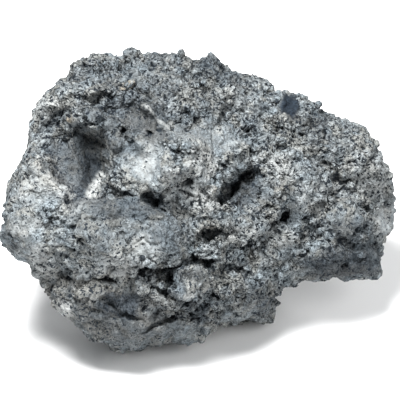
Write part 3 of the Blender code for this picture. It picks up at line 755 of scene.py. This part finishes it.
def named_form(directions):
    """The stone with its named forms and its breaks, before any blocks: its points, the same points as the
    viewer of the best side sees them, and how much each faces that viewer."""
    seen = round_form(directions)
    facing = smooth_step(*FORMS_BEGIN, directions[:, 2])
    raised = seen.copy()
    raised[:, 2] += form_relief(seen) * facing
    return break_off(stand_up(raised), smooth_step(*BREAKS_BEGIN, directions[:, 2])), seen, facing


def even_out(directions, quads):
    """Moves each direction to the mean of those beside it, weighted by how far away on the stone they
    are, over and over, so that steep walls get as many points as the rest."""
    corners = quads.ravel()
    beside = quads[:, [1, 2, 3, 0]].ravel()
    for _ in range(EVEN_ROUNDS):
        points = named_form(directions)[0]
        length = np.linalg.norm(points[corners] - points[beside], axis=1)
        total = np.bincount(corners, length, len(points)) + np.bincount(beside, length, len(points))
        moved = np.empty_like(directions)
        for axis in range(3):
            onward = np.bincount(corners, length * directions[beside, axis], len(points))
            backward = np.bincount(beside, length * directions[corners, axis], len(points))
            moved[:, axis] = (onward + backward) / total
        directions = unit((1 - EVEN_PACE) * directions + EVEN_PACE * moved)
    return directions


def fine_relief(base, normals, rough, knob_height):
    """Height of what only the skin has: knobs and grit where it is rough, crags and bubbles, which are
    lower where it is smooth. knob_height multiplies the knobs and grit."""
    height = (block_relief(base, KNOBS) + block_relief(base, GRIT)) * rough * knob_height
    height += crag_relief(base) * (1 - CRAG_CALM + CRAG_CALM * rough)
    for bubbles in BUBBLES:
        height -= bubble_depth(base, normals, bubbles) * (1 - BUBBLE_CALM + BUBBLE_CALM * rough)
    return height


def stone_surface(faces, knob_height):
    """The skin's points and quads, and for each point how sunk and how rough it is, and how strong each
    mark is. The blocks raise the named form away from its middle, the fine relief raises that along the
    way it faces, and the leans then shift it."""
    directions, quads = cube_skin(faces)
    directions = even_out(unit(directions + np.array((0, 0, FRONT_BIAS))), quads)
    points, seen, facing = named_form(directions)
    rim = np.exp(-((directions[:, 2] / RIM_REACH) ** 2))
    height = sum(block_relief(points, blocks) for blocks in BLOCKS) * (1 - RIM_SHARE * rim)
    points = points + unit(points) * height[:, None]
    base = points
    normals = quad_normals(points, quads)
    marks = {name: mark_share(seen, ovals) * facing for name, ovals in MARKS.items()}
    patches = smooth_step(-PATCH_EDGE, PATCH_EDGE, soft_noise(base, PATCH_SIZE, PATCH_SEED))
    rough = (1 - SMOOTHING * marks["smooth"]) * between(PATCH_RANGE, patches) * (1 - RIM_CALM * rim)
    fine = fine_relief(base, normals, rough, knob_height) - RIM_SINK * rim
    points = points + normals * fine[:, None]
    tilting = (rough * (1 - RIM_SHARE * rim))[:, None]
    for lean in LEANS:
        points = points + stray(base, lean.size, lean.seed) * lean.reach * tilting
    # how far each point lies below its neighbours; the material paints shade into it by this
    sunk = neighbour_mean(fine, quads, SUNK_ROUNDS) - fine
    points = rest_on_floor(points)
    points[:, 2] = np.maximum(points[:, 2] + FLOOR_DROP, 0)
    points[:, :2] -= MIDDLE
    return points, quads, {"sunk": sunk, "rough": rough, **marks}


def lump_shape(rings, sides):
    """A round lump's corners and triangles. Its two parameters are the ring and the step round it: between
    a bottom and a top point lie rings of corners, at even angles up, each half a step on from the last."""
    ring, step = np.meshgrid(np.arange(rings), np.arange(sides), indexing="ij")
    rise = ((ring + 1) / (rings + 1) - 0.5) * np.pi
    turn = (step + ring / 2) * 2 * np.pi / sides
    around = np.stack([np.cos(rise) * np.cos(turn), np.cos(rise) * np.sin(turn), np.sin(rise)], axis=-1)
    corners = np.concatenate([[(0, 0, -1)], around.reshape(-1, 3), [(0, 0, 1)]])
    number = 1 + step + ring * sides
    onward = 1 + (step + 1) % sides + ring * sides
    low, low_next, high, high_next = number[:-1], onward[:-1], number[1:], onward[1:]
    bottom = np.zeros(sides, int)
    top = np.full(sides, rings * sides + 1)
    bands = [
        (bottom, onward[0], number[0]),
        (low.ravel(), low_next.ravel(), high.ravel()),
        (low_next.ravel(), high_next.ravel(), high.ravel()),
        (number[-1], onward[-1], top),
    ]
    return corners, np.concatenate([np.stack(band, axis=-1) for band in bands])


def random_turns(random, count):
    """A turn for each grain, as three unit ways at right angles: a random one, one across it, and the
    last across both."""
    first = unit(random.normal(size=(count, 3)))
    second = unit(np.cross(first, random.normal(size=(count, 3))))
    return np.stack([first, second, np.cross(first, second)], axis=1)


def on_quads(values, quads, picks, shares):
    """Values between the corners of the picked quads: each corner's value counts by how near it is, as the
    product of its shares along the quad's two sides."""
    along, aside = shares.T
    near, far = (1 - along) * (1 - aside), along * aside
    weights = np.stack([near, along * (1 - aside), far, (1 - along) * aside], axis=-1)
    corners = values[quads[picks]]
    return np.sum(corners * weights.reshape(weights.shape + (1,) * (corners.ndim - 2)), axis=1)


def strewn_spots(skin, grains, random):
    """A quad, and a place in it, for each grain: at random, in proportion to each quad's area and to the
    square of how rough it is, more often on the best side than behind it, and never close to the floor."""
    points, quads, marks = skin
    corners = points[quads]
    area = np.linalg.norm(np.cross(corners[:, 2] - corners[:, 0], corners[:, 3] - corners[:, 1]), axis=1) / 2
    facing = quad_normals(points, quads)[quads[:, 0]] @ LINE_OF_SIGHT
    facing = smooth_step(-GRAIN_FRONT, GRAIN_FRONT, facing)
    density = (1 - grains.front) + (2 * grains.front - 1) * facing
    density *= marks["rough"][quads[:, 0]] ** 2
    density *= points[quads[:, 0], 2] > grains.most
    reach = np.cumsum(area * density)
    aims = (np.arange(grains.count) + random.random(grains.count)) / grains.count * reach[-1]
    picks = np.minimum(np.searchsorted(reach, aims), len(quads) - 1)
    return picks, random.random((grains.count, 2))


def strewn_grains(skin, grains, grain_size):
    """Grains on the skin: each is the lump shape with a random size, stretch, jitter and turn, and its
    middle is sunk under its spot, further where the skin is side on to the viewer. Each keeps the marks of
    its spot, and has a tone of its own. grain_size multiplies their radius."""
    points, quads, marks = skin
    random = np.random.default_rng(grains.seed)
    picks, shares = strewn_spots(skin, grains, random)
    spots = on_quads(points, quads, picks, shares)
    ways = unit(on_quads(quad_normals(points, quads), quads, picks, shares))
    radius = between((grains.least, grains.most), random.random(grains.count) ** 2) * grain_size
    rim = np.exp(-((ways @ LINE_OF_SIGHT / GRAIN_RIM_REACH) ** 2))
    sink = between(GRAIN_SINK, random.random(grains.count))
    sink = np.minimum(sink + GRAIN_RIM * rim, GRAIN_SINK[1])
    shape, triangles = lump_shape(grains.rings, grains.sides)
    stretch = between(GRAIN_STRETCH, random.random((grains.count, 1, 3)))
    jitter = 1 + GRAIN_JITTER * (2 * random.random((grains.count, len(shape), 1)) - 1)
    lumps = (shape * stretch * jitter * radius[:, None, None]) @ random_turns(random, grains.count)
    lumps += (spots - ways * (sink * radius)[:, None])[:, None]
    lumps[..., 2] = np.maximum(lumps[..., 2], 0)
    faces = triangles + len(shape) * np.arange(grains.count)[:, None, None]
    values = {name: on_quads(mark, quads, picks, shares) for name, mark in marks.items()}
    # a grain that stands out of its spot gets less of that painted hollow shade
    values["sunk"] = values["sunk"] - radius * (1 - sink)
    values["tone"] = random.random(grains.count)
    values = {name: np.repeat(value, len(shape)) for name, value in values.items()}
    return lumps.reshape(-1, 3), faces.reshape(-1, 3), values


def new_mesh(name, points, faces, values=()):
    """A mesh of the points and faces, with each named value as an attribute of its points."""
    mesh = bpy.data.meshes.new(name)
    mesh.vertices.add(len(points))
    mesh.vertices.foreach_set("co", points.astype(np.float32).ravel())
    corners = faces.shape[1]
    mesh.loops.add(faces.size)
    mesh.loops.foreach_set("vertex_index", faces.astype(np.int32).ravel())
    mesh.polygons.add(len(faces))
    mesh.polygons.foreach_set("loop_start", np.arange(0, faces.size, corners, dtype=np.int32))
    mesh.update(calc_edges=True)
    for key, value in dict(values).items():
        mesh.attributes.new(key, "FLOAT", "POINT").data.foreach_set("value", value.astype(np.float32))
    return mesh


def read_skin():
    """The skin's points, its quads, and the named values of its points, as its mesh holds them."""
    mesh = bpy.data.objects["skin"].data
    points = np.empty(3 * len(mesh.vertices), np.float32)
    mesh.vertices.foreach_get("co", points)
    quads = np.empty(len(mesh.loops), np.int32)
    mesh.loops.foreach_get("vertex_index", quads)
    marks = {name: np.empty(len(mesh.vertices), np.float32) for name in ("sunk", "rough", *MARKS)}
    for name, values in marks.items():
        mesh.attributes[name].data.foreach_get("value", values)
    return points.reshape(-1, 3).astype(float), quads.reshape(-1, 4), marks


def add_piece(name, mesh, material):
    """Adds an object of the mesh to the scene, with its material."""
    piece = bpy.data.objects.new(name, mesh)
    bpy.context.scene.collection.objects.link(piece)
    mesh.materials.append(material)
    return piece


def add_node(tree, kind, inputs=(), **properties):
    """Adds a node, with its properties and its inputs: a socket is linked, and any other value is set."""
    made = tree.nodes.new(kind)
    for name, value in properties.items():
        setattr(made, name, value)
    for name, value in dict(inputs).items():
        if isinstance(value, bpy.types.NodeSocket):
            tree.links.new(value, made.inputs[name])
        else:
            made.inputs[name].default_value = value
    return made


def add_math(tree, operation, *values):
    """Joins the values by the operation, one after another."""
    result = values[0]
    for value in values[1:]:
        result = add_node(tree, "ShaderNodeMath", {0: result, 1: value}, operation=operation).outputs[0]
    return result


def add_ramp(tree, value, ramp):
    """The ramp's start where the value is at its low or beyond it, its end where the value is at its high
    or beyond it, and an S-curve between."""
    inputs = {"Value": value, **dict(zip(("From Min", "From Max", "To Min", "To Max"), ramp))}
    return add_node(tree, "ShaderNodeMapRange", inputs, interpolation_type="SMOOTHSTEP").outputs[0]


def opaque(colour):
    """The colour with an alpha of 1."""
    return (*colour, 1)


def add_mix(tree, share, first, second, blend="MIX"):
    """Mixes two colours, by the node's sockets for colours, which are inputs 6 and 7 and output 2."""
    inputs = {0: share, 6: first, 7: second}
    return add_node(tree, "ShaderNodeMix", inputs, data_type="RGBA", blend_type=blend).outputs[2]


def add_noise(tree, place, waves):
    """Smooth noise, about 0.5 in the mean: outputs Fac, and Color with three noises side by side."""
    inputs = {"Vector": place, "Scale": waves.per_metre, "Detail": waves.detail, "Roughness": waves.roughness}
    return add_node(tree, "ShaderNodeTexNoise", inputs).outputs


def add_vector(tree, operation, first, second):
    """Joins two vectors by the operation, or scales the first by a number."""
    inputs = {0: first, "Scale" if operation == "SCALE" else 1: second}
    return add_node(tree, "ShaderNodeVectorMath", inputs, operation=operation).outputs[0]


def read_attribute(tree, name):
    """A value of the mesh's points, by its name."""
    return add_node(tree, "ShaderNodeAttribute", attribute_name=name).outputs["Fac"]


def grit_group():
    """Packed grains of one size: the space nearest to each random spot is a grain. Tone is a random
    number for each grain, Dome is high in its middle, and Pit marks the middles of some of them."""
    group = bpy.data.node_groups.new("grit", "ShaderNodeTree")
    group.interface.new_socket("Place", in_out="INPUT", socket_type="NodeSocketVector")
    group.interface.new_socket("Grains per Metre", in_out="INPUT", socket_type="NodeSocketFloat")
    for name in ("Tone", "Dome", "Pit"):
        group.interface.new_socket(name, in_out="OUTPUT", socket_type="NodeSocketFloat")
    given = add_node(group, "NodeGroupInput").outputs
    inputs = {"Vector": given["Place"], "Scale": given["Grains per Metre"]}
    cells = add_node(group, "ShaderNodeTexVoronoi", inputs).outputs
    numbers = add_node(group, "ShaderNodeSeparateColor", {0: cells["Color"]}).outputs
    hole = add_ramp(group, cells["Distance"], HOLE)
    chosen = add_ramp(group, numbers[1], HOLLOW_GRAINS)
    result = add_node(group, "NodeGroupOutput").inputs
    group.links.new(numbers[0], result["Tone"])
    group.links.new(add_ramp(group, cells["Distance"], DOME), result["Dome"])
    group.links.new(add_math(group, "MULTIPLY", hole, chosen), result["Pit"])
    return group


def add_grit(tree, group, place, grains_per_metre):
    """Adds the grit group, with grains of that size."""
    inputs = {"Place": place, "Grains per Metre": grains_per_metre}
    return add_node(tree, "ShaderNodeGroup", inputs, node_tree=group).outputs


def swirled(tree, place):
    """The place shifted a little by noise, so that no pattern has clean edges."""
    centred = add_vector(tree, "SUBTRACT", add_noise(tree, place, SWIRL_WAVES)["Color"], NOISE_MIDDLE)
    return add_vector(tree, "ADD", place, add_vector(tree, "SCALE", centred, SWIRL_REACH))


def lava_patterns(tree):
    """The patterns that the colour and the bump of the lava share."""
    place = add_node(tree, "ShaderNodeTexCoord").outputs["Object"]
    shifted = swirled(tree, place)
    group = grit_group()
    patterns = {name: add_grit(tree, group, shifted, size) for name, size in GRAINS_PER_METRE.items()}
    patterns |= {name: add_noise(tree, place, waves)["Fac"] for name, waves in WAVES.items()}
    patterns["patches"] = add_noise(tree, shifted, PATCH_WAVES)["Fac"]
    patterns["smooth"] = read_attribute(tree, "smooth")
    return patterns


def lava_tone(tree, patterns):
    """How light the lava is, as a factor of its colour: the tones of the specks, the fine grains, the
    mottling, the strewn grain or the skin itself, and the smooth skin, multiplied."""
    grits = {name: patterns[name]["Tone"] for name in ("specks", "fine")}
    sources = {**patterns, **grits, "tone": read_attribute(tree, "tone")}
    tone = add_math(tree, "MULTIPLY", *[add_ramp(tree, sources[name], ramp) for name, ramp in TONES.items()])
    return add_node(tree, "ShaderNodeCombineColor", {0: tone, 1: tone, 2: tone}).outputs[0]


def lava_pits(tree, patterns):
    """Where the small pits are, which the colour fills with painted shade: where ragged noise is low, and in
    the middles of some grains, small ones in some patches and coarse ones in the rest. There are fewer in
    some broad patches and where the skin is smooth."""
    fewer = add_ramp(tree, patterns["broad"], FEWER_PITS)
    fewer = add_math(tree, "ADD", fewer, add_math(tree, "MULTIPLY", patterns["smooth"], SMOOTH_PITS))
    ragged = add_ramp(tree, add_math(tree, "ADD", patterns["ragged"], fewer), RAGGED_PITS)
    rough = add_ramp(tree, patterns["smooth"], ROUGH_PITS)
    coarse_patches = add_ramp(tree, patterns["patches"], COARSE_PITS)
    coarse = add_math(tree, "MULTIPLY", patterns["coarse"]["Pit"], rough, coarse_patches)
    fine = add_math(tree, "MULTIPLY", patterns["fine"]["Pit"], add_ramp(tree, patterns["patches"], FINE_PITS))
    return add_math(tree, "MAXIMUM", ragged, coarse, fine)


def lava_colour(tree, patterns, settings):
    """The lava's colour: cool and warm patches, marks (ochre, and dark ones that are partly painted shade),
    tone, pale crust with some painted light, and painted shade in the pits, gaps and hollows, in turn.
    """
    mottle = patterns["mottle"]
    broad = add_math(tree, "MULTIPLY", patterns["broad"], BROAD_SHARE)
    hue = add_math(tree, "ADD", patterns["patches"], broad)
    ochre = add_math(tree, "MULTIPLY", read_attribute(tree, "ochre"), add_ramp(tree, mottle, OCHRE_MOTTLE))
    crust_and_light = add_math(tree, "MULTIPLY", read_attribute(tree, "crust_and_light"), add_ramp(tree, mottle, CRUST_AND_LIGHT_MOTTLE))
    sunk = add_ramp(tree, read_attribute(tree, "sunk"), SUNK_SHARE)
    # painted shade: the pits and the skin's own hollows are darkened as if shade fell in them
    pits = add_math(tree, "MAXIMUM", sunk, add_math(tree, "MULTIPLY", lava_pits(tree, patterns), PIT_SHARE))
    cool = add_ramp(tree, hue, COOL_PATCHES)
    warm = add_ramp(tree, hue, WARM_PATCHES)
    colour = add_mix(tree, cool, opaque(settings.basalt_colour), opaque(settings.cool_colour))
    colour = add_mix(tree, warm, colour, opaque(settings.warm_colour))
    colour = add_mix(tree, ochre, colour, opaque(settings.ochre_colour))
    # dark marks: the chip's own colour, and painted shade elsewhere
    colour = add_mix(tree, read_attribute(tree, "dark"), colour, opaque(settings.chip_and_shade_colour))
    colour = add_mix(tree, 1.0, colour, lava_tone(tree, patterns), "MULTIPLY")
    # pale marks: the crust's own colour, and painted light on shaded parts
    colour = add_mix(tree, crust_and_light, colour, opaque(settings.crust_and_light_colour))
    # painted shade in the pits, gaps and hollows
    return add_mix(tree, pits, colour, opaque(settings.pit_shade_colour))


def lava_normal(tree, patterns):
    """Bumps finer than the mesh: the grains' domes, less their pits, and noise, in BUMP_UNIT."""
    heights = [(patterns[name][part], height) for (name, part), height in GRAIN_BUMPS.items()]
    heights += [(patterns[name], height) for name, height in NOISE_BUMPS.items()]
    total = add_math(tree, "ADD", *[add_math(tree, "MULTIPLY", *pair) for pair in heights])
    strength = add_ramp(tree, patterns["smooth"], BUMP_STRENGTH)
    bump = {"Height": total, "Strength": strength, "Distance": BUMP_UNIT}
    return add_node(tree, "ShaderNodeBump", bump).outputs["Normal"]


def basalt_material(settings):
    """Rough, matt lava, with the colours from the settings."""
    material = bpy.data.materials.new("basalt_look")
    material.use_nodes = True
    tree = material.node_tree
    shader = tree.nodes["Principled BSDF"]
    patterns = lava_patterns(tree)
    tree.links.new(lava_colour(tree, patterns, settings), shader.inputs["Base Color"])
    tree.links.new(lava_normal(tree, patterns), shader.inputs["Normal"])
    shader.inputs["Roughness"].default_value = LAVA_ROUGHNESS
    shader.inputs["Specular IOR Level"].default_value = LAVA_GLOSS
    return material


def add_stone_piece(name, mesh, settings):
    """Adds a piece of the stone's look, made of basalt, in the place of the solid."""
    material = bpy.data.materials.get("basalt_look") or basalt_material(settings)
    piece = add_piece(name, mesh, material)
    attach(piece, BODY)
    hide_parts(SOLID_NODE)


class LavaRockSettings(bpy.types.PropertyGroup):
    """How fine and how rough the skin is, and the lava's colours"""

    fineness: IntProperty(
        name="Fineness",
        description="Faces along each side of the cube that is blown up into the skin",
        default=128,
        min=16,
        max=128,
    )
    knob_height: FloatProperty(
        name="Knob height",
        description="How high the knobs and grit of the skin stand, as a share of their usual height",
        subtype="FACTOR",
        default=1,
        min=0,
        max=2,
    )
    grain_size: FloatProperty(
        name="Grain size",
        description="How large the lumps and grains on the skin are, as a share of their usual size",
        subtype="FACTOR",
        default=1,
        min=0.5,
        max=2,
    )
    basalt_colour: FloatVectorProperty(
        name="Basalt",
        description="Colour of the broken lava",
        subtype="COLOR",
        default=(0.170, 0.186, 0.192),
        min=0,
        max=1,
    )
    cool_colour: FloatVectorProperty(
        name="Cool basalt",
        description="Colour of the bluish patches",
        subtype="COLOR",
        default=(0.155, 0.179, 0.193),
        min=0,
        max=1,
    )
    warm_colour: FloatVectorProperty(
        name="Warm basalt",
        description="Colour of the brownish patches",
        subtype="COLOR",
        default=(0.189, 0.195, 0.188),
        min=0,
        max=1,
    )
    # Painted light as well as the pale crust: some marks in this colour stand for light on shaded parts
    crust_and_light_colour: FloatVectorProperty(
        name="Crust",
        description="Colour of the pale mineral crust",
        subtype="COLOR",
        default=(0.31, 0.32, 0.315),
        min=0,
        max=1,
    )
    ochre_colour: FloatVectorProperty(
        name="Ochre",
        description="Colour of the rusty spots",
        subtype="COLOR",
        default=(0.24, 0.205, 0.155),
        min=0,
        max=1,
    )
    # Painted shade as well as dense chips: most dark marks in this colour stand for shade
    chip_and_shade_colour: FloatVectorProperty(
        name="Dark basalt",
        description="Colour of the fresh, dense chips",
        subtype="COLOR",
        default=(0.015, 0.021, 0.029),
        min=0,
        max=1,
    )
    # Painted shade: the near-black put into bubbles, gaps and hollows, where shade falls
    pit_shade_colour: FloatVectorProperty(
        name="Pits",
        description="Colour inside the bubbles and gaps",
        subtype="COLOR",
        default=(0.010, 0.014, 0.019),
        min=0,
        max=1,
    )


class StageSettings(bpy.types.PropertyGroup):
    """The floor, the lights and the view"""

    floor_colour: FloatVectorProperty(
        name="Floor",
        description="Colour of the floor",
        subtype="COLOR",
        default=(0.80, 0.80, 0.80),
        min=0,
        max=1,
    )
    soft_light: FloatProperty(
        name="Soft light",
        description="Strength of the light from all round",
        default=0.27,
        min=0,
    )
    key_power: FloatProperty(
        name="Key light",
        description="Power of the main light, high up at the left of the best side",
        subtype="POWER",
        default=36,
        min=0,
    )
    fill_power: FloatProperty(
        name="Fill light",
        description="Power of the light on the stone's right end",
        subtype="POWER",
        default=11,
        min=0,
    )
    back_power: FloatProperty(
        name="Back light",
        description="Power of the weak light on the stone's back",
        subtype="POWER",
        default=16,
        min=0,
    )
    view_distance: FloatProperty(
        name="View distance",
        description="From the stone's middle to the camera",
        subtype="DISTANCE",
        default=3.0,
        min=0.4,
    )
    view_width: FloatProperty(
        name="View width",
        description="How much the camera takes in at the stone's middle",
        subtype="DISTANCE",
        default=0.24,
        min=0.05,
    )


class LAVA_OT_skin(bpy.types.Operator):
    """Draws the stone's skin in the place of its solid"""

    bl_idname = "lava.skin"
    bl_label = "Skin"

    def execute(self, context):
        settings = context.scene.lava_rock
        points, quads, marks = stone_surface(settings.fineness, settings.knob_height)
        marks["tone"] = np.full(len(points), 0.5)
        mesh = new_mesh("skin", points, quads, marks)
        mesh.shade_smooth()
        add_stone_piece("skin", mesh, settings)
        return {"FINISHED"}


class LAVA_OT_grains(bpy.types.Operator):
    """Sinks lumps and grains of lava into the skin"""

    bl_idname = "lava.grains"
    bl_label = "Grains"

    def execute(self, context):
        settings = context.scene.lava_rock
        skin = read_skin()
        for grains in GRAINS:
            mesh = new_mesh(grains.name, *strewn_grains(skin, grains, settings.grain_size))
            add_stone_piece(grains.name, mesh, settings)
        return {"FINISHED"}


def add_floor(colour):
    """Lays a plain, matt floor that belongs to the stage."""
    corners = np.array([(-1, -1, 0), (1, -1, 0), (1, 1, 0), (-1, 1, 0)]) * FLOOR_SIZE / 2
    material = bpy.data.materials.new("pale_floor")
    material.use_nodes = True
    shader = material.node_tree.nodes["Principled BSDF"]
    shader.inputs["Base Color"].default_value = opaque(colour)
    shader.inputs["Roughness"].default_value = FLOOR_ROUGHNESS
    floor = add_piece("floor", new_mesh("floor", corners, np.array([(0, 1, 2, 3)])), material)
    floor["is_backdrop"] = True


def add_soft_light(strength):
    """Adds a pale light from all round."""
    world = bpy.data.worlds.new("soft_light")
    world.use_nodes = True
    background = world.node_tree.nodes["Background"]
    background.inputs["Color"].default_value = opaque(SOFT_COLOUR)
    background.inputs["Strength"].default_value = strength
    bpy.context.scene.world = world


def add_area_light(name, power, size, place, aim):
    """Adds a square light that faces the aim."""
    light = bpy.data.lights.new(name, "AREA")
    light.energy = power
    light.size = size
    lamp = bpy.data.objects.new(name, light)
    lamp.location = place
    lamp.rotation_euler = (Vector(aim) - Vector(place)).to_track_quat("-Z", "Y").to_euler()
    bpy.context.scene.collection.objects.link(lamp)


def add_camera(distance, width, aim):
    """Adds the scene's camera, in the line of sight to the aim, which takes in the width there."""
    camera = bpy.data.cameras.new("camera")
    camera.sensor_width = SENSOR_WIDTH
    camera.lens = camera.sensor_width * distance / width
    viewer = bpy.data.objects.new("camera", camera)
    sight = Vector(LINE_OF_SIGHT)
    viewer.location = Vector(aim) + sight * distance
    viewer.rotation_euler = (-sight).to_track_quat("-Z", "Y").to_euler()
    bpy.context.scene.collection.objects.link(viewer)
    bpy.context.scene.camera = viewer


class LAVA_OT_stage(bpy.types.Operator):
    """Sets the floor, the light and the camera"""

    bl_idname = "lava.stage"
    bl_label = "Stage"

    def execute(self, context):
        settings = context.scene.lava_stage
        aim = (-MIDDLE[0], -MIDDLE[1], FLOOR_DROP)
        add_floor(settings.floor_colour)
        add_soft_light(settings.soft_light)
        add_area_light("key", settings.key_power, KEY_SIZE, KEY_PLACE, aim)
        add_area_light("fill", settings.fill_power, FILL_SIZE, FILL_PLACE, aim)
        add_area_light("back", settings.back_power, BACK_LIGHT_SIZE, BACK_LIGHT_PLACE, aim)
        add_camera(settings.view_distance, settings.view_width, aim)
        context.scene.view_settings.view_transform = "Standard"
        return {"FINISHED"}


class LAVA_PT_panel(bpy.types.Panel):
    """The settings, and a button for each operator"""

    bl_idname = "LAVA_PT_panel"
    bl_label = "Lava Rock"
    bl_space_type = "VIEW_3D"
    bl_region_type = "UI"
    bl_category = "Lava Rock"

    def draw(self, context):
        for settings in (context.scene.lava_rock, context.scene.lava_stage):
            for name in settings.__annotations__:
                self.layout.prop(settings, name)
        for operator in (LAVA_OT_skin, LAVA_OT_grains, LAVA_OT_stage):
            self.layout.operator(operator.bl_idname)


CLASSES = (LavaRockSettings, StageSettings, LAVA_OT_skin, LAVA_OT_grains, LAVA_OT_stage, LAVA_PT_panel)


def register():
    """Makes the classes and the scene's settings known to Blender."""
    for item in CLASSES:
        bpy.utils.register_class(item)
    bpy.types.Scene.lava_rock = PointerProperty(type=LavaRockSettings)
    bpy.types.Scene.lava_stage = PointerProperty(type=StageSettings)


def unregister():
    """Takes them away again."""
    del bpy.types.Scene.lava_stage
    del bpy.types.Scene.lava_rock
    for item in reversed(CLASSES):
        bpy.utils.unregister_class(item)


def main():
    """Builds the pieces and the stage."""
    register()
    bpy.ops.lava.skin()
    bpy.ops.lava.grains()
    bpy.ops.lava.stage()
    boxes = {"solid": SOLID_BOX, "visual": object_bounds()}
    {name: [list(corner) for corner in box] for name, box in boxes.items()}


if __name__ == "__main__":
    main()
